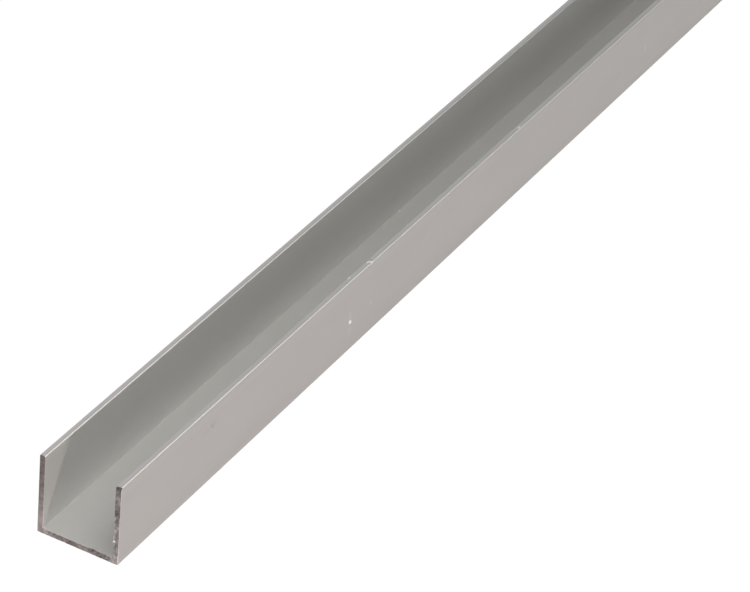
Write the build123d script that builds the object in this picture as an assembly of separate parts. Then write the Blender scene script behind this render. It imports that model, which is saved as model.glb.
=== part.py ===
from build123d import *
import os

# Aluminium U-channel: one extruded piece of stock, sawn square at both ends.
# Millimetres. X across the section, Y along the length, Z up, open side up.
# Origin: middle of the web's underside, which is the face it lies on.

WIDTH = 15.0  # over the outer faces of the two flanges
HEIGHT = 15.0  # from the web's underside to the flange tips
WALL = 1.0  # web and flanges alike
LENGTH = 1000.0  # one stock length, sawn end to sawn end
OUTER_CORNER_R = 0.1  # long outside corners where the web meets the flanges
INNER_CORNER_R = 0.1  # long inside corners at the foot of the groove
TIP_OUTER_R = 0.2  # long outer edge of each flange tip
TIP_INNER_R = 0.25  # long edge of each flange tip on the groove side

half_w = WIDTH / 2
half_groove = half_w - WALL


def corners(face, x, z):
    """The two mirrored corners of the section at plus and minus x, at height z."""
    return [
        v
        for v in face.vertices()
        if abs(abs(v.X) - x) < 1e-6 and abs(v.Y - z) < 1e-6
    ]


# The section, drawn with its width along X and its height along Y of the sketch.
outline = Polyline(
    (-half_w, 0),
    (half_w, 0),
    (half_w, HEIGHT),
    (half_groove, HEIGHT),
    (half_groove, WALL),
    (-half_groove, WALL),
    (-half_groove, HEIGHT),
    (-half_w, HEIGHT),
    close=True,
)
section = make_face(outline)
section = fillet(corners(section, half_w, 0), OUTER_CORNER_R)
section = fillet(corners(section, half_groove, WALL), INNER_CORNER_R)
section = fillet(corners(section, half_w, HEIGHT), TIP_OUTER_R)
section = fillet(corners(section, half_groove, HEIGHT), TIP_INNER_R)

# Extruded both ways from the middle, so the origin stays at half length.
u_channel = extrude(Plane.XZ * section, amount=LENGTH / 2, both=True)
u_channel.label = "u_channel"

os.makedirs("parts", exist_ok=True)
export_step(u_channel, "parts/u_channel.step")
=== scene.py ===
import math

import bpy
import numpy as np
from mathutils import Matrix, Vector


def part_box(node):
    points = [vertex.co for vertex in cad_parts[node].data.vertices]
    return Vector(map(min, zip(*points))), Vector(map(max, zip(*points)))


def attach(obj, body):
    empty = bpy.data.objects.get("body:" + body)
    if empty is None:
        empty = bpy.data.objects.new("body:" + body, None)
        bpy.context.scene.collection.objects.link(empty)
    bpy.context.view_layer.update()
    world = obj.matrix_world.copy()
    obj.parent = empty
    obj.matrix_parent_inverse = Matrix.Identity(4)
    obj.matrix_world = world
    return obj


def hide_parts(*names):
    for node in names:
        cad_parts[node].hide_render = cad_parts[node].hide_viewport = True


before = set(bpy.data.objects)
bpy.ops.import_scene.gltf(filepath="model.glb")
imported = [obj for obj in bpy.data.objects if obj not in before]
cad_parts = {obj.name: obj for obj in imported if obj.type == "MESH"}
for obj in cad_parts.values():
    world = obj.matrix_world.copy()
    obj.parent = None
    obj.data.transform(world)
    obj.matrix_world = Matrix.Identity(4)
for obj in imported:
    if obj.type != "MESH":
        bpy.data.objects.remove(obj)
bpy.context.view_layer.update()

NODE_LO, NODE_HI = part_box("u_channel")

MM = 0.001
# The section, in millimetres, as the CAD node has it: X across, Z up, Y along.
HALF_W = (NODE_HI.x - NODE_LO.x) / 2 / MM
HEIGHT = NODE_HI.z / MM
LENGTH = (NODE_HI.y - NODE_LO.y) / MM
NEAR_Y = NODE_LO.y / MM
WALL = 1.0
R_OUT, R_IN = 0.1, 0.1
TIP_OUT, TIP_IN = 0.2, 0.25
IN_W = HALF_W - WALL


# ---------------------------------------------------------------- noise helpers


def smooth(t):
    return t * t * (3 - 2 * t)


def noise1(x, pitch, seed):
    """Smooth value noise in -1..1 along x."""
    g = np.random.default_rng(seed).uniform(-1, 1, 2048)
    t = np.asarray(x, float) / pitch
    i = np.floor(t).astype(int)
    f = smooth(t - i)
    return g[i % 2048] * (1 - f) + g[(i + 1) % 2048] * f


def noise2(x, y, pitch, seed):
    """Smooth value noise in -1..1 over a plane."""
    g = np.random.default_rng(seed).uniform(-1, 1, (256, 256))
    a, b = np.asarray(x, float) / pitch, np.asarray(y, float) / pitch
    i, j = np.floor(a).astype(int), np.floor(b).astype(int)
    fa, fb = smooth(a - i), smooth(b - j)
    i0, i1, j0, j1 = i % 256, (i + 1) % 256, j % 256, (j + 1) % 256
    return (g[i0, j0] * (1 - fa) + g[i1, j0] * fa) * (1 - fb) + (
        g[i0, j1] * (1 - fa) + g[i1, j1] * fa
    ) * fb


def bump_at(x, centre, half):
    """1 at the centre, falling smoothly to 0 at half away."""
    return np.exp(-(((x - centre) / half) ** 2) * 2.0)


def step_up(x, a, b):
    return smooth(np.clip((x - a) / (b - a), 0, 1))


# ---------------------------------------------------------------- the section


def section():
    """Matched outer and inner points of the U, left tip to right tip, and the two rounded tips between them, all as (x, z)."""
    outer, inner = [], []

    def flange(side, share):
        for t in share:
            outer.append((side * HALF_W, foot + t * (HEIGHT - TIP_OUT - foot)))
            inner.append((side * IN_W, foot + t * (HEIGHT - TIP_IN - foot)))

    foot = WALL + R_IN
    # Where the outer corner's straight runs and arc fall along its length.
    run = foot - R_OUT
    arc = math.pi / 2 * R_OUT
    whole = 2 * run + arc
    a0, a1 = run / whole, (run + arc) / whole
    marks = [a0 / 2, a0] + [a0 + (a1 - a0) * k / 4 for k in (1, 2, 3)]
    marks += [a1, (a1 + 1) / 2, 1.0]

    def outer_corner(t):
        d = t * whole
        if d <= run:
            return (-HALF_W, foot - d)
        if d <= run + arc:
            a = math.pi + (d - run) / R_OUT
            return (
                -HALF_W + R_OUT + R_OUT * math.cos(a),
                R_OUT + R_OUT * math.sin(a),
            )
        return (-HALF_W + R_OUT + d - run - arc, 0.0)

    def inner_corner(t):
        a = math.pi + math.pi / 2 * t
        return (-IN_W + R_IN + R_IN * math.cos(a), foot + R_IN * math.sin(a))

    flange(-1, np.linspace(1, 0, 92))
    for k, t in enumerate(marks):
        outer.append(outer_corner(t))
        inner.append(inner_corner((k + 1) / len(marks)))
    for x in np.linspace(-IN_W + R_IN, IN_W - R_IN, 86)[1:-1]:
        outer.append((x, 0.0))
        inner.append((x, WALL))
    for k, t in reversed(list(enumerate(marks))):
        x, z = outer_corner(t)
        outer.append((-x, z))
        x, z = inner_corner((k + 1) / len(marks))
        inner.append((-x, z))
    flange(1, np.linspace(0, 1, 98))

    tip = []
    for k in range(5):
        a = math.pi - math.pi / 2 * k / 4
        tip.append(
            (-HALF_W + TIP_OUT + TIP_OUT * math.cos(a), HEIGHT - TIP_OUT + TIP_OUT * math.sin(a))
        )
    flat0, flat1 = -HALF_W + TIP_OUT, -IN_W - TIP_IN
    tip += [(flat0 + (flat1 - flat0) * k / 6, HEIGHT) for k in range(1, 6)]
    for k in range(5):
        a = math.pi / 2 - math.pi / 2 * k / 4
        tip.append((-IN_W - TIP_IN + TIP_IN * math.cos(a), HEIGHT - TIP_IN + TIP_IN * math.sin(a)))
    left = np.array(tip)
    right = left * (-1, 1)
    return np.array(outer), np.array(inner), left, right


OUTER, INNER, TIP_L, TIP_R = section()
N, COLS = len(OUTER), len(TIP_L)
ACROSS = (TIP_L[:, 0] + HALF_W) / WALL  # 0 at the outer face, 1 at the inner face

# The end face as a grid of N rows along the U and COLS across its wall.
GRID = OUTER[:, None, :] + ACROSS[None, :, None] * (INNER - OUTER)[:, None, :]
GRID[0], GRID[-1] = TIP_L, TIP_R

# The closed loop round the section, as (row, column) of that grid.
LOOP = [(i, 0) for i in range(N)]
LOOP += [(N - 1, j) for j in range(1, COLS - 1)]
LOOP += [(i, COLS - 1) for i in range(N - 1, -1, -1)]
LOOP += [(0, j) for j in range(COLS - 2, 0, -1)]
LOOP = np.array(LOOP)
M = len(LOOP)
RING = GRID[LOOP[:, 0], LOOP[:, 1]]

# Outward direction of the loop at each of its points, from its neighbours.
_t = np.roll(RING, -1, 0) - np.roll(RING, 1, 0)
OUTWARD = np.stack([_t[:, 1], -_t[:, 0]], 1)
OUTWARD /= np.linalg.norm(OUTWARD, axis=1)[:, None]
AT_INNER = LOOP[:, 1] == COLS - 1
AT_OUTER = LOOP[:, 1] == 0


# ---------------------------------------------------------------- the sawn ends

ON_RIGHT, ON_LEFT = 1, -1


def side_of(x, z):
    """+1 on the right flange, -1 on the left one, 0 on the web."""
    return np.where(z > WALL + 0.25, np.sign(x), 0)


def torn(x, z, seed):
    """0 to 1: how much the saw tore the groove's edge away at (x, z) on that edge."""
    ragged = 0.62 + 0.38 * noise1(z + 30, 0.55, seed) + 0.25 * noise1(z + 60, 0.21, seed + 1)
    on = (side_of(x, z) == ON_RIGHT) * step_up(z, 1.2, 2.0) * (1 - step_up(z, 8.9, 9.7))
    low = 0.10 * (side_of(x, z) == ON_LEFT) * (1 - step_up(z, 2.6, 4.4))
    return np.clip((on + low) * ragged, 0, 1)


def lip(x, z, seed):
    """How far the torn edge of an end stands into the groove at (x, z), in mm."""
    ragged = np.clip(0.35 + 0.65 * noise1(x + 50, 0.38, seed + 2) + 0.4 * noise1(x + 80, 0.16, seed + 3), 0, 1)
    web = 0.15 * ragged * (side_of(x, z) == 0) * step_up(x, 0.8, 2.6)
    fine = np.clip(noise1(z + 20, 0.3, seed + 4), 0, 1)
    right = 0.11 * fine * torn(x, z, seed)
    flake = 0.12 * (side_of(x, z) == ON_RIGHT) * flaked(z)
    return web + right + flake


def relief(x, z, seed):
    """How far back from the outermost plane a sawn face lies, in mm: arcs left by the blade, and rough grain between them."""
    blade = np.hypot(x + 96.0, z - 74.0)
    jitter = 0.16 * noise2(x, z, 1.7, seed + 11)
    marks = np.sin((blade + jitter) * 2 * math.pi / 0.46)
    marks = marks * (0.55 + 0.45 * noise1(blade, 0.9, seed + 12))
    grain = noise2(x, z, 0.55, seed + 13) * 0.6 + noise2(x, z, 0.23, seed + 14) * 0.4
    rough = np.clip(0.4 + 0.6 * step_up(x, -6.8, 2.0), 0, 1)
    notch = 0.07 * bump_at(x, -2.4, 0.16) * (1 - step_up(z, 0.3, 0.8))
    return 0.062 + 0.014 * marks + 0.028 * grain * rough + notch


def cut_tone(x, z, seed):
    """How light the sawn face is: darker up the flanges, lighter towards their foot and at the web's corners, with a
    painted shade along the flanges' top edge.
    """
    side = side_of(x, z)
    left = 0.66 + 0.62 * (1 - step_up(z, 1.6, 11.0))
    right = 0.70 + 0.30 * (1 - step_up(z, 7.0, 9.2)) + 0.75 * (1 - step_up(z, 1.0, 2.2))
    right = right + 0.42 * bump_at(z, 12.2, 0.9) - 0.16 * bump_at(z, 9.8, 1.0)
    web = 0.93 + 0.38 * (1 - step_up(x, -6.6, -4.0)) + 0.55 * step_up(x, 5.6, 6.7)
    web = web - 0.26 * bump_at(x, -1.5, 1.5) - 0.24 * bump_at(x, 4.3, 1.5)
    tone = np.where(side == ON_RIGHT, right, np.where(side == ON_LEFT, 0.945 * left, 0.93 * web))
    # Painted shade along the top edge of both flanges' sawn faces.
    tone = tone * (1 - 0.22 * step_up(z, 14.4, 14.8))
    coarse = np.where(side == ON_LEFT, 0.11, 0.27)
    tone = tone * (1 + coarse * (noise2(x, z, 0.75, seed + 21) + noise2(x, z, 0.36, seed + 22)))
    return tone + 0.5 * bump_at(x, -2.4, 0.16) * (1 - step_up(z, 0.3, 0.8)) * (side == 0)


FLAKE_Z = 4.28


def flaked(z):
    """The flake that hangs from the torn edge, with its thinner tail above it."""
    return np.clip(bump_at(z, FLAKE_Z, 0.34) + 0.5 * bump_at(z, FLAKE_Z + 0.7, 0.5), 0, 1)


# ---------------------------------------------------------------- the mesh

NEAR = [0.12, 0.28, 0.5, 0.85, 1.3, 2.0, 3.1, 5.0, 8.0, 13.0, 21.0, 34.0, 52.0]
NICK_S, NICK_X = 78.5, 7.12
SCAR_S, SCAR_Z = 72.4, 6.0
SCAR = [66.0, 69.5, 71.2, 71.55, 71.7, 71.84, 71.92] + [72.0 + 0.08 * k for k in range(11)] + [73.0, 73.6]
NICK = [75.0, 76.7, 77.5, 77.75] + [77.9 + 0.075 * k for k in range(30)]
NICK += [80.4, 80.9, 82.0, 85.0]
MID = [110, 150, 200, 260, 330, 410, 500, 590, 670, 740, 800, 850, 890, 920]
STATIONS = np.array(NEAR + SCAR + NICK + MID + [LENGTH - s for s in reversed(NEAR)])


def wedge(q, a, b, c):
    """Rises from 0 at a to 1 at b and falls to 0 at c."""
    return np.interp(q, [a, b, c], [0.0, 1.0, 0.0])


def across_tip(x, s):
    """How far along the length a point of the tip lies past the nick's slanting line, in mm."""
    return (s - NICK_S) - 0.72 * (x - NICK_X)


def dent(x, z, s):
    """The nick across the right flange's tip and a smaller one on its groove side: how far the tip is pressed down, in mm."""
    nick = 0.160 * wedge(across_tip(x, s), -0.75, -0.22, 0.22) * step_up(x, 6.68, 6.90)
    small = 0.15 * wedge(s - 72.05, -0.42, -0.16, 0.16) * (1 - step_up(x, 6.68, 6.86))
    return (nick + small) * step_up(z, HEIGHT - 1.0, HEIGHT - 0.25) * (x > IN_W - 0.01)


ON_TIP_L, ON_TIP_R = LOOP[:, 0] == 0, LOOP[:, 0] == N - 1
ON_EDGE_OUT = (ON_TIP_L | ON_TIP_R) & (LOOP[:, 1] > 0) & (LOOP[:, 1] < 4)
ON_EDGE_IN = (ON_TIP_L | ON_TIP_R) & (LOOP[:, 1] > 10) & (LOOP[:, 1] < 14)
ON_FLAT = (LOOP[:, 1] > 3) & (LOOP[:, 1] < 11)


def painted_light_and_shade(s):
    """Painted light and shade round the section at s, as factors on the finish's colour, with tones matched to the
    photograph: painted dimming of the tips' edge highlights away from the ends, a lighter left tip, a darker
    groove-side edge on the right tip, a painted light line at the foot of the groove's walls, and a painted dark line
    and a faint painted light one past the nick.
    """
    x, z = RING[:, 0], RING[:, 1]
    q = across_tip(x, s)
    # Painted shade and painted highlight past the nick: a dark line and a faint light one across the tip.
    line = 0.14 * wedge(q, 0.95, 1.13, 1.32) - 0.34 * wedge(q, 0.54, 0.76, 0.98)
    light = 1 + line * step_up(x, 6.62, 6.76) * (1 - step_up(x, 7.16, 7.32)) * (z > HEIGHT - 0.2)
    depth = min(s, LENGTH - s)
    # Painted dimming of the highlights on the tips' edges, growing with depth from the ends.
    dull = np.interp(depth, [15, 60, 100, 130, 170, 230], [1, 0.89, 0.83, 0.80, 0.71, 0.66])
    light = np.where(ON_EDGE_OUT | (ON_EDGE_IN & ON_TIP_L), light * dull, light)
    # Painted shade on the right tip's groove-side edge.
    light = np.where(ON_EDGE_IN & ON_TIP_R, light * 0.92, light)
    # Painted dimming of the right tip's outer edge highlight near the ends.
    painted_edge_dimming = np.interp(depth, [22, 50, 100], [0.92, 0.965, 0.975])
    light = np.where(ON_EDGE_OUT & ON_TIP_R, light * painted_edge_dimming, light)
    # Painted light on the left tip's flat.
    light = np.where(ON_FLAT & ON_TIP_L, light * 1.06, light)
    # Painted light line at the foot of the groove's walls, near the ends.
    foot = np.exp(-(((z - WALL) / 0.75) ** 2)) * (1 - step_up(depth, 50, 105))
    return np.where(AT_INNER & (np.abs(x) > IN_W - 0.5 * R_IN), light + 0.055 * foot, light)


def gouge(x, z, s):
    """A small chip out of the right flange's outer face: how deep it is, in mm."""
    along, up = s - SCAR_S, z - SCAR_Z + 0.46 * (s - SCAR_S)
    deep = wedge(along, -0.40, -0.20, 0.42) * wedge(up, -0.45, 0.20, 0.40)
    return 0.08 * deep * (x > HALF_W - 1e-6)


class End:
    """One sawn end: the grid of its face, and how its border leads into the sides."""

    def __init__(self, seed, far):
        x, z = GRID[..., 0].copy(), GRID[..., 1].copy()
        if far:
            x = -x
        ex, ez = x[:, -1], z[:, -1]
        tear, stand = torn(ex, ez, seed), lip(ex, ez, seed)
        # The torn band takes the inner third of the wall, with a ragged outer edge.
        start = 0.66 + 0.10 * noise1(ez + 10, 0.5, seed + 7) + 0.05 * noise1(ez + 70, 0.2, seed + 8)
        start = np.where(side_of(ex, ez) == ON_RIGHT, start - 0.14, start + 0.16)
        t = ACROSS[None, :]
        band = np.clip((t - start[:, None]) / (1 - start[:, None]), 0, 1)
        band[0], band[-1] = 0, 0
        ragged = 0.8 + 0.55 * noise2(x, z, 0.26, seed + 9)
        back = relief(x, z, seed) + 0.30 * band * tear[:, None] * ragged
        # The outer edges are broken by a few hundredths; the flake stands forward.
        rim = np.clip(np.exp(-t / 0.03) + np.exp(-(1 - t) / 0.03), 0, 1)
        back = back + 0.03 * rim
        flake = flaked(ez) * (side_of(ex, ez) == ON_RIGHT)
        back = back * (1 - 0.8 * flake[:, None] * band)
        if not far:
            # The saw broke the right tip's corner.
            back[-1] += 0.24 * (1 - 0.8 * ACROSS)
        self.back = np.clip(back, 0.006, 0.5)

        self.bare = band * tear[:, None] * np.clip(0.62 + 0.75 * noise2(x, z, 0.4, seed + 10), 0.0, 1)
        self.bare = np.maximum(self.bare, 0.8 * flake[:, None] * step_up(band, 0.2, 0.6))
        self.bare = np.clip(self.bare, 0, 1)
        self.tone = cut_tone(x, z, seed)
        if not far:
            # Painted shade on the top strip of the right flange's sawn face at the near end.
            self.tone[-1] *= 0.72
            self.tone[-2] *= 0.85

        edge = np.zeros((N, COLS))
        edge[LOOP[:, 0], LOOP[:, 1]] = 1
        out = np.zeros((N, COLS, 2))
        out[LOOP[:, 0], LOOP[:, 1]] = OUTWARD
        breaks = -0.008 + 0.005 * noise2(x, z, 0.4, seed + 15)
        move = edge[..., None] * out * breaks[..., None]
        # The lip leans into the groove, and the face next to it follows.
        follow = np.clip(1 - (1 - t) / 0.3, 0, 1) ** 2
        lean = out[:, -1:, :] * stand[:, None, None] * follow[..., None]
        lean[0], lean[-1] = 0, 0
        self.xz = GRID + move + lean
        self.stand = np.zeros(M)
        rows = LOOP[AT_INNER, 0]
        self.stand[AT_INNER] = stand[rows]
        self.border = self.back[LOOP[:, 0], LOOP[:, 1]]


near_end, far_end = End(31, False), End(57, True)

points, bare, tone, painted_shading, edge = [], [], [], [], []


def add(xz, s, naked, light, painted_shade_factor=1.0, edged=0.0):
    """Adds points given in mm, s from the near end's outermost plane; returns their numbers."""
    start = len(points)
    y = np.broadcast_to(np.asarray(s, float), (len(xz),)) + NEAR_Y
    points.extend(zip(xz[:, 0] * MM, y * MM, xz[:, 1] * MM))
    bare.extend(np.broadcast_to(naked, (len(xz),)))
    tone.extend(np.broadcast_to(light, (len(xz),)))
    painted_shading.extend(np.broadcast_to(painted_shade_factor, (len(xz),)))
    edge.extend(np.broadcast_to(edged, (len(xz),)))
    return np.arange(start, start + len(xz))


def on_loop(grid):
    return grid[LOOP[:, 0], LOOP[:, 1]]


rings = [add(on_loop(near_end.xz), near_end.border, on_loop(near_end.bare), on_loop(near_end.tone))]
for s in STATIONS:
    xz = RING.copy()
    d = dent(xz[:, 0], xz[:, 1], s)
    scar = gouge(xz[:, 0], xz[:, 1], s)
    xz[:, 1] -= d
    xz[:, 0] -= 0.3 * d + scar
    e, depth = (near_end, s) if s < LENGTH / 2 else (far_end, LENGTH - s)
    fade = math.exp(-((depth / 0.3) ** 2))
    xz += OUTWARD * (0.9 * e.stand * fade)[:, None]
    # Behind a torn border the next rings start from it, so none folds over another.
    run = e.border + depth * (1 - np.clip(e.border, 0, 2.5) / 3.0) if depth < 3.0 else depth
    naked = np.maximum(on_loop(e.bare) * fade, np.clip(scar / 0.03, 0, 1))
    # Bare metal on the nick's lip: partly the dent's bare metal, partly a painted highlight.
    lit = wedge(across_tip(RING[:, 0], s), -0.3, 0.0, 0.3) * step_up(RING[:, 0], 6.70, 6.90)
    naked = np.maximum(naked, 0.4 * lit * np.clip(d / 0.03, 0, 1))
    # Painted light and shade round the section at this station.
    painted_shade_factor = painted_light_and_shade(s)
    edged = (ON_EDGE_OUT | ON_EDGE_IN).astype(float)
    rings.append(add(xz, run if e is near_end else LENGTH - run, naked, 1.0, painted_shade_factor, edged))
rings.append(
    add(on_loop(far_end.xz), LENGTH - far_end.border, on_loop(far_end.bare), on_loop(far_end.tone))
)

faces, mats = [], []
for a, b in zip(rings[:-1], rings[1:]):
    for k in range(M):
        n = (k + 1) % M
        faces.append((a[k], b[k], b[n], a[n]))
        mats.append(0)

inside = np.ones((N, COLS), bool)
inside[LOOP[:, 0], LOOP[:, 1]] = False
for e, ring, far in ((near_end, rings[0], False), (far_end, rings[-1], True)):
    index = np.zeros((N, COLS), int)
    index[LOOP[:, 0], LOOP[:, 1]] = ring
    s = LENGTH - e.back[inside] if far else e.back[inside]
    index[inside] = add(e.xz[inside], s, e.bare[inside], e.tone[inside])
    for i in range(N - 1):
        for j in range(COLS - 1):
            q = (index[i, j], index[i, j + 1], index[i + 1, j + 1], index[i + 1, j])
            faces.append(q if far else q[::-1])
            mats.append(1)

mesh = bpy.data.meshes.new("u_channel_stock")
mesh.from_pydata(points, [], [tuple(int(v) for v in f) for f in faces])
mesh.polygons.foreach_set("material_index", np.array(mats, np.int32))
for name, values in (("bare", bare), ("tone", tone), ("painted_shading", painted_shading), ("edge", edge)):
    mesh.attributes.new(name, "FLOAT", "POINT").data.foreach_set(
        "value", np.array(values, np.float32)
    )

# A map that gives the sawn ends and the near end their share of detail: the sides
# unrolled in one strip along the length, and each end as a strip of its own.
uv = mesh.uv_layers.new(name="OFBake")
gap = np.linalg.norm(np.diff(np.vstack([RING, RING[:1]]), axis=0), axis=1)
girth = np.concatenate([[0], np.cumsum(gap)])
girth = girth / girth[-1]
along_s = np.concatenate([[0.0], STATIONS, [LENGTH]])
along_u = np.interp(along_s, [0, 3, 100, 970, 997, LENGTH], [0, 0.03, 0.36, 0.92, 0.97, 1])
row_len = np.linalg.norm(np.diff((OUTER + INNER) / 2, axis=0), axis=1)
row_u = np.concatenate([[0], np.cumsum(row_len)])
row_u = row_u / row_u[-1]
co = []
for a in range(len(rings) - 1):
    u0, u1 = (0.004 + 0.992 * along_u[a]), (0.004 + 0.992 * along_u[a + 1])
    for k in range(M):
        v0, v1 = 0.004 + 0.886 * girth[k], 0.004 + 0.886 * girth[k + 1]
        co += [u0, v0, u1, v0, u1, v1, u0, v1]
for far in (False, True):
    base = 0.950 if far else 0.900
    for i in range(N - 1):
        for j in range(COLS - 1):
            u0, u1 = 0.004 + 0.992 * row_u[i], 0.004 + 0.992 * row_u[i + 1]
            v0, v1 = base + 0.042 * ACROSS[j], base + 0.042 * ACROSS[j + 1]
            q = [(u0, v0), (u0, v1), (u1, v1), (u1, v0)]
            for p in q if far else q[::-1]:
                co += p
uv.data.foreach_set("uv", np.array(co, np.float32))
mesh.validate()
mesh.shade_smooth()
mesh.set_sharp_from_angle(angle=math.radians(38))

stock = bpy.data.objects.new("u_channel_stock", mesh)
bpy.context.scene.collection.objects.link(stock)
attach(stock, "root")
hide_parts("u_channel")


# ---------------------------------------------------------------- materials


class Tree:
    """Short names for building a node tree."""

    def __init__(self, material):
        material.use_nodes = True
        self.t = material.node_tree
        self.t.nodes.clear()

    def node(self, kind, inputs=None, **settings):
        n = self.t.nodes.new(kind)
        for key, value in settings.items():
            setattr(n, key, value)
        for key, value in (inputs or {}).items():
            if isinstance(value, bpy.types.NodeSocket):
                self.t.links.new(value, n.inputs[key])
            else:
                n.inputs[key].default_value = value
        return n

    def math(self, op, a, b=0.0, clamp=False):
        n = self.node("ShaderNodeMath", {0: a, 1: b}, operation=op, use_clamp=clamp)
        return n.outputs[0]

    def scaled(self, vector, scale):
        n = self.node("ShaderNodeMapping", {"Vector": vector, "Scale": scale})
        return n.outputs[0]

    def noise(self, vector, scale, detail=2.0, rough=0.5):
        n = self.node(
            "ShaderNodeTexNoise",
            {"Vector": vector, "Scale": scale, "Detail": detail, "Roughness": rough},
        )
        return n.outputs["Fac"]

    def ranged(self, value, lo, hi, to_lo, to_hi, smoothly=True):
        n = self.node(
            "ShaderNodeMapRange",
            {0: value, 1: lo, 2: hi, 3: to_lo, 4: to_hi},
            interpolation_type="SMOOTHSTEP" if smoothly else "LINEAR",
        )
        return n.outputs[0]

    def mixed(self, factor, a, b):
        n = self.node("ShaderNodeMix", data_type="RGBA")
        for socket, value in ((0, factor), (6, a), (7, b)):
            if isinstance(value, bpy.types.NodeSocket):
                self.t.links.new(value, n.inputs[socket])
            else:
                n.inputs[socket].default_value = value
        return n.outputs[2]

    def spot(self, vector, centre, size):
        """1 at a point, falling to 0 at size away, each way its own size, in metres."""
        moved = self.node(
            "ShaderNodeVectorMath",
            {0: vector, 1: centre},
            operation="SUBTRACT",
        ).outputs[0]
        shaped = self.node(
            "ShaderNodeVectorMath",
            {0: moved, 1: tuple(1.0 / s for s in size)},
            operation="MULTIPLY",
        ).outputs[0]
        far = self.node(
            "ShaderNodeVectorMath", {0: shaped}, operation="LENGTH"
        ).outputs["Value"]
        return self.ranged(far, 0.25, 1.0, 1.0, 0.0)


def anodised():
    """Satin anodised aluminium: faint die lines along the length over a fine etched grain, with a few small marks, and
    painted light, shade and a painted highlight tint on the tips' edges, the foot of the walls and past the nick.
    """
    m = bpy.data.materials.new("anodised_satin")
    t = Tree(m)
    at = t.node("ShaderNodeTexCoord").outputs["Object"]
    lines = t.noise(t.scaled(at, (2600, 3.0, 2600)), 1.0, 3.0, 0.6)
    broad = t.noise(t.scaled(at, (420, 1.2, 420)), 1.0, 2.0, 0.5)
    grain = t.noise(at, 9000.0, 2.0, 0.6)
    cloud = t.noise(t.scaled(at, (120, 40, 120)), 1.0, 3.0, 0.55)

    tone = t.math("ADD", t.ranged(lines, 0.3, 0.7, -0.007, 0.007, False), t.ranged(broad, 0.3, 0.7, -0.004, 0.004, False))
    tone = t.math("ADD", tone, t.ranged(cloud, 0.3, 0.7, -0.012, 0.012, False))
    tone = t.math("ADD", tone, t.ranged(grain, 0.3, 0.7, -0.012, 0.012, False))
    shade = t.ranged(tone, -0.05, 0.05, 0.0, 1.0, False)
    colour = t.mixed(shade, (*[c * 0.95 for c in METAL], 1), (*[c * 1.05 for c in METAL], 1))

    # Small marks from handling.
    near = NEAR_Y * MM
    marks = [
        ((0.0075, near + 0.0722, 0.00610), (0.0004, 0.00042, 0.00062), 0.80),
        ((0.0075, near + 0.0726, 0.00592), (0.0004, 0.00042, 0.00062), 0.80),
        ((0.0075, near + 0.0723, 0.0073), (0.0004, 0.00070, 0.0012), 0.16),
        ((0.0075, near + 0.0724, 0.0040), (0.0004, 0.00085, 0.0016), 0.10),
        ((0.0075, near + 0.0797, 0.0061), (0.0004, 0.00075, 0.00070), 0.16),
        ((0.0075, near + 0.1905, 0.0065), (0.0004, 0.00045, 0.0010), 0.28),
        ((0.0065, near + 0.0721, 0.0149), (0.0004, 0.00055, 0.0005), 0.85),
        ((-0.0064, near + 0.1158, 0.0010), (0.0004, 0.00060, 0.0005), 0.35),
        ((0.00719, near + 0.13428, 0.0150), (0.0004, 0.00060, 0.0005), 0.60),
        ((0.00651, near + 0.13906, 0.0150), (0.0004, 0.00060, 0.0005), 0.45),
    ]
    scar = None
    for centre, size, strength in marks:
        s = t.math("MULTIPLY", t.spot(at, centre, size), strength)
        scar = s if scar is None else t.math("MAXIMUM", scar, s)
    colour = t.mixed(scar, colour, (0.82, 0.88, 0.91, 1))
    sheen = t.ranged(scar, 0.25, 0.70, SHEEN, 0.45 * SHEEN, False)
    smudge = t.math(
        "MULTIPLY",
        t.math(
            "MAXIMUM",
            t.spot(at, (0.0075, near + 0.0273, 0.01095), (0.0004, 0.0012, 0.0009)),
            t.math("MULTIPLY", t.spot(at, (0.0075, near + 0.02499, 0.01074), (0.0004, 0.0018, 0.0006)), 0.45),
        ),
        t.ranged(t.noise(at, 2400.0, 2.0), 0.42, 0.6, 0.0, 0.30),
    )
    colour = t.mixed(smudge, colour, (0.22, 0.21, 0.20, 1))

    # Bare metal where the saw tore the edge and at the chip, and on the nick's lip, where it is partly a painted
    # highlight.
    naked = t.node("ShaderNodeAttribute", attribute_name="bare").outputs["Fac"]
    colour = t.mixed(naked, colour, (0.90, 0.88, 0.86, 1))
    # Painted light and shade from the section's tone factors: dimmed edge highlights, a lighter left tip, a light line
    # at the foot of the walls, and lines past the nick.
    painted_shade_factor = t.node("ShaderNodeAttribute", attribute_name="painted_shading").outputs["Fac"]
    colour = t.node("ShaderNodeVectorMath", {0: colour, "Scale": painted_shade_factor}, operation="SCALE").outputs[0]
    # A painted warm tint on the rounded tip edges, where the highlights fall: a painted highlight colour.
    rounded = t.node("ShaderNodeAttribute", attribute_name="edge").outputs["Fac"]
    painted_highlight_tint = t.mixed(rounded, (1, 1, 1, 1), (0.99, 0.945, 0.95, 1))
    colour = t.node("ShaderNodeVectorMath", {0: colour, 1: painted_highlight_tint}, operation="MULTIPLY").outputs[0]

    rough = t.math("ADD", t.ranged(lines, 0.3, 0.7, -0.015, 0.015, False), t.ranged(grain, 0.3, 0.7, ROUGH - 0.03, ROUGH + 0.03, False))
    rough = t.math("SUBTRACT", rough, t.math("MULTIPLY", naked, 0.18))
    height = t.math("ADD", t.math("MULTIPLY", lines, 0.6), t.math("MULTIPLY", grain, 0.4))
    bump = t.node("ShaderNodeBump", {"Strength": 0.10, "Distance": 0.00002, "Height": height})
    shader = t.node(
        "ShaderNodeBsdfPrincipled",
        {
            "Base Color": colour,
            "Metallic": sheen,
            "Roughness": rough,
            "Normal": bump.outputs["Normal"],
        },
    )
    t.t.links.new(
        shader.outputs[0], t.node("ShaderNodeOutputMaterial").inputs["Surface"]
    )
    return m


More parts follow.
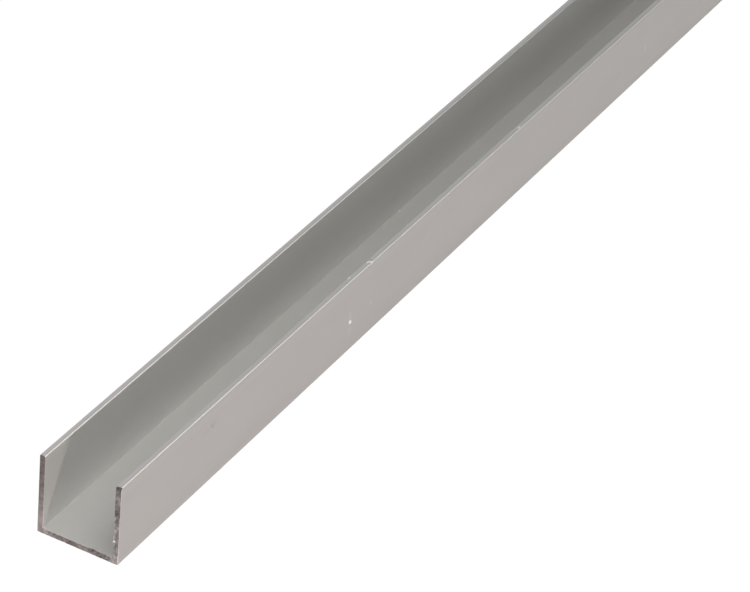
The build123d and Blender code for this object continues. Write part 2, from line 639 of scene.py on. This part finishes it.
def sawn():
    """Bare sawn aluminium: dull and dark where the blade dragged, lighter where the metal tore."""
    m = bpy.data.materials.new("sawn_end")
    t = Tree(m)
    at = t.node("ShaderNodeTexCoord").outputs["Object"]
    fine = t.noise(at, 5200.0, 3.0, 0.65)
    scored = t.noise(t.scaled(at, (900, 1, 3800)), 1.0, 2.0, 0.6)
    light = t.node("ShaderNodeAttribute", attribute_name="tone").outputs["Fac"]
    speck = t.noise(at, 2600.0, 2.0, 0.6)
    across = t.node("ShaderNodeSeparateXYZ", {0: at}).outputs["X"]
    mottle = t.math("ADD", t.ranged(fine, 0.3, 0.7, -0.20, 0.20, False), t.ranged(speck, 0.34, 0.66, -0.22, 0.22, False))
    mottle = t.math("MULTIPLY", mottle, t.ranged(across, -0.0068, -0.0058, 0.55, 1.1))
    light = t.math("ADD", light, mottle)
    colour = t.mixed(t.ranged(light, 0.0, 2.0, 0.0, 1.0, False), (0.0, 0.0, 0.0, 1), (*[c * 2.0 for c in CUT], 1))
    bare_metal = t.node("ShaderNodeAttribute", attribute_name="bare").outputs["Fac"]
    colour = t.mixed(bare_metal, colour, (0.80, 0.86, 0.84, 1))
    rough = t.ranged(fine, 0.3, 0.7, 0.46, 0.64, False)
    height = t.math("ADD", t.math("MULTIPLY", scored, 0.5), t.math("MULTIPLY", fine, 0.5))
    bump = t.node("ShaderNodeBump", {"Strength": 0.4, "Distance": 0.00005, "Height": height})
    shader = t.node(
        "ShaderNodeBsdfPrincipled",
        {
            "Base Color": colour,
            "Metallic": 0.8,
            "Roughness": rough,
            "Normal": bump.outputs["Normal"],
        },
    )
    t.t.links.new(
        shader.outputs[0], t.node("ShaderNodeOutputMaterial").inputs["Surface"]
    )
    return m


METAL = (0.60, 0.60, 0.60)
ROUGH = 0.48
SHEEN = 0.85
CUT = (0.232, 0.222, 0.215)
mesh.materials.append(anodised())
mesh.materials.append(sawn())


# ---------------------------------------------------------------- camera

LENS = 159.2807
EYE = Vector((217.01186, -347.95877 + NEAR_Y, 322.98998)) * MM
RIGHT = Vector((0.86907276, 0.48728512, 0.08523939))
DOWN = Vector((0.33297244, -0.44879150, -0.82928617))
AHEAD = Vector((-0.36584410, 0.74909238, -0.55228498))
camera = bpy.data.cameras.new("camera")
camera.sensor_fit = "HORIZONTAL"
camera.sensor_width = 36.0
camera.lens = LENS
camera.clip_start, camera.clip_end = 0.02, 200.0
eye = bpy.data.objects.new("camera", camera)
turn = Matrix((RIGHT, -DOWN, -AHEAD)).transposed().to_4x4()
eye.matrix_world = Matrix.Translation(EYE) @ turn
bpy.context.scene.collection.objects.link(eye)
bpy.context.scene.camera = eye


# ---------------------------------------------------------------- floor and light

# A round floor that curls up far away, so that low views have no horizon.
floor_mesh = bpy.data.meshes.new("floor")
spots, strips = [(0.0, 0.0, 0.0)], []
SIDES = 64
PROFILE = [(20.0, 0.0), (26.0, 0.0), (28.5, 0.5), (29.6, 1.5), (30.0, 3.2)]
for radius, rise in PROFILE:
    for k in range(SIDES):
        a = 2 * math.pi * k / SIDES
        spots.append((radius * math.cos(a), radius * math.sin(a), rise))
for k in range(SIDES):
    n = (k + 1) % SIDES
    strips.append((0, 1 + k, 1 + n))
    for r in range(len(PROFILE) - 1):
        i, j = 1 + r * SIDES, 1 + (r + 1) * SIDES
        strips.append((i + k, j + k, j + n, i + n))
floor_mesh.from_pydata(spots, [], strips)
floor = bpy.data.objects.new("floor", floor_mesh)
floor.location.z = -0.00003
bpy.context.scene.collection.objects.link(floor)
white = bpy.data.materials.new("floor_white")
ft = Tree(white)
glow = ft.node("ShaderNodeEmission", {"Color": (1.0, 1.0, 1.0, 1), "Strength": 0.995})
matt = ft.node("ShaderNodeBsdfDiffuse", {"Color": (0.02, 0.02, 0.02, 1)})
both = ft.node("ShaderNodeAddShader", {0: glow.outputs[0], 1: matt.outputs[0]})
ft.t.links.new(both.outputs[0], ft.node("ShaderNodeOutputMaterial").inputs["Surface"])
white.cycles.emission_sampling = "NONE"
floor_mesh.materials.append(white)
# The floor is for the eye only: the object's light from below is the world's own.
floor.visible_diffuse = floor.visible_glossy = False
floor.visible_transmission = floor.visible_shadow = False

# The room: broad soft glows round the object. Those below stand in for the floor's bounce.
# Each has its bearing and height in degrees and its colour.
GLOWS = [
    (36, 8, (2.48, 2.54, 2.54)),
    (45, 35, (0.74, 0.73, 0.54)),
    (135, 35, (0.21, 0.17, 0.25)),
    (0, 8, (0.0, 0.12, 0.0)),
    (108, 8, (1.06, 1.19, 1.12)),
    (144, 8, (0.60, 0.48, 0.44)),
    (60, -48, (0.11, 0.02, 0.04)),
    (0, -48, (3.85, 3.66, 3.58)),
    (270, -48, (2.98, 2.31, 2.68)),
    (300, -18, (0.63, 0.28, 0.0)),
    (180, 8, (1.2, 1.2, 1.2)),
    (216, 8, (0.9, 0.9, 0.9)),
    (252, 8, (0.5, 0.5, 0.5)),
    (180, 35, (0.8, 0.8, 0.8)),
    (225, 35, (0.5, 0.5, 0.5)),
    (135, -18, (0.2, 0.2, 0.2)),
    (180, -18, (0.6, 0.6, 0.6)),
    (225, -18, (0.6, 0.6, 0.6)),
    (270, -18, (0.75, 0.76, 0.5)),
    (120, -48, (0.5, 0.5, 0.5)),
    (180, -48, (0.5, 0.5, 0.5)),
    (240, -48, (0.5, 0.5, 0.5)),
    (300, -48, (0.4, 0.4, 0.4)),
]
world = bpy.data.worlds.new("studio")
bpy.context.scene.world = world
wt = Tree(world)
towards = wt.node("ShaderNodeTexCoord").outputs["Generated"]
total = None
for bearing, rise, colour in GLOWS:
    a, e = math.radians(bearing), math.radians(rise)
    aim = (math.cos(e) * math.cos(a), math.cos(e) * math.sin(a), math.sin(e))
    near = wt.node(
        "ShaderNodeVectorMath", {0: towards, 1: aim}, operation="DOT_PRODUCT"
    ).outputs["Value"]
    near = wt.math("EXPONENT", wt.math("MULTIPLY", wt.math("SUBTRACT", near, 1.0), 14.0))
    lit = wt.node(
        "ShaderNodeVectorMath", {0: colour, "Scale": near}, operation="SCALE"
    ).outputs[0]
    if total is not None:
        lit = wt.node("ShaderNodeVectorMath", {0: total, 1: lit}).outputs[0]
    total = lit
sky = wt.node("ShaderNodeBackground", {"Color": total, "Strength": 0.8})
wt.t.links.new(sky.outputs[0], wt.node("ShaderNodeOutputWorld").inputs["Surface"])
world.cycles.sampling_method = "MANUAL"
world.cycles.sample_map_resolution = 256


def lamp(name, kind, colour, watts, **settings):
    data = bpy.data.lights.new(name, kind)
    data.color, data.energy = colour, watts
    for key, value in settings.items():
        setattr(data, key, value)
    ob = bpy.data.objects.new(name, data)
    ob.visible_camera = False
    bpy.context.scene.collection.objects.link(ob)
    return ob


def soft_box(name, place, colour, watts):
    """A round soft light at a place in mm from the near end, turned to the object."""
    ob = lamp(name, "AREA", colour, watts, shape="DISK", size=0.35)
    at = Vector((place[0], place[1] + NEAR_Y, place[2])) * MM
    to = Vector((0, NEAR_Y + 60.0, 8.0)) * MM - at
    ob.matrix_world = Matrix.Translation(at) @ to.to_track_quat("-Z", "Y").to_matrix().to_4x4()


soft_box("over", (0, -150, 450), (1.0, 0.82, 0.83), 0.95)
soft_box("above", (150, -100, 350), (0.985, 1.0, 0.933), 1.961)
soft_box("behind", (300, 300, 150), (0.966, 1.0, 0.982), 0.328)

# A lamp mirrored by the table: it comes up past the web's end, so its edge falls
# across the inside of the left flange.
mirrored = lamp("mirrored", "SUN", (1.0, 0.854, 0.786), 2.103, angle=math.radians(4.4))
mirrored.rotation_euler = (
    -Vector((0.9, -0.49, -1.0)).normalized()
).to_track_quat("-Z", "Y").to_euler()

view = bpy.context.scene.view_settings
view.view_transform = "Standard"
view.look = "None"
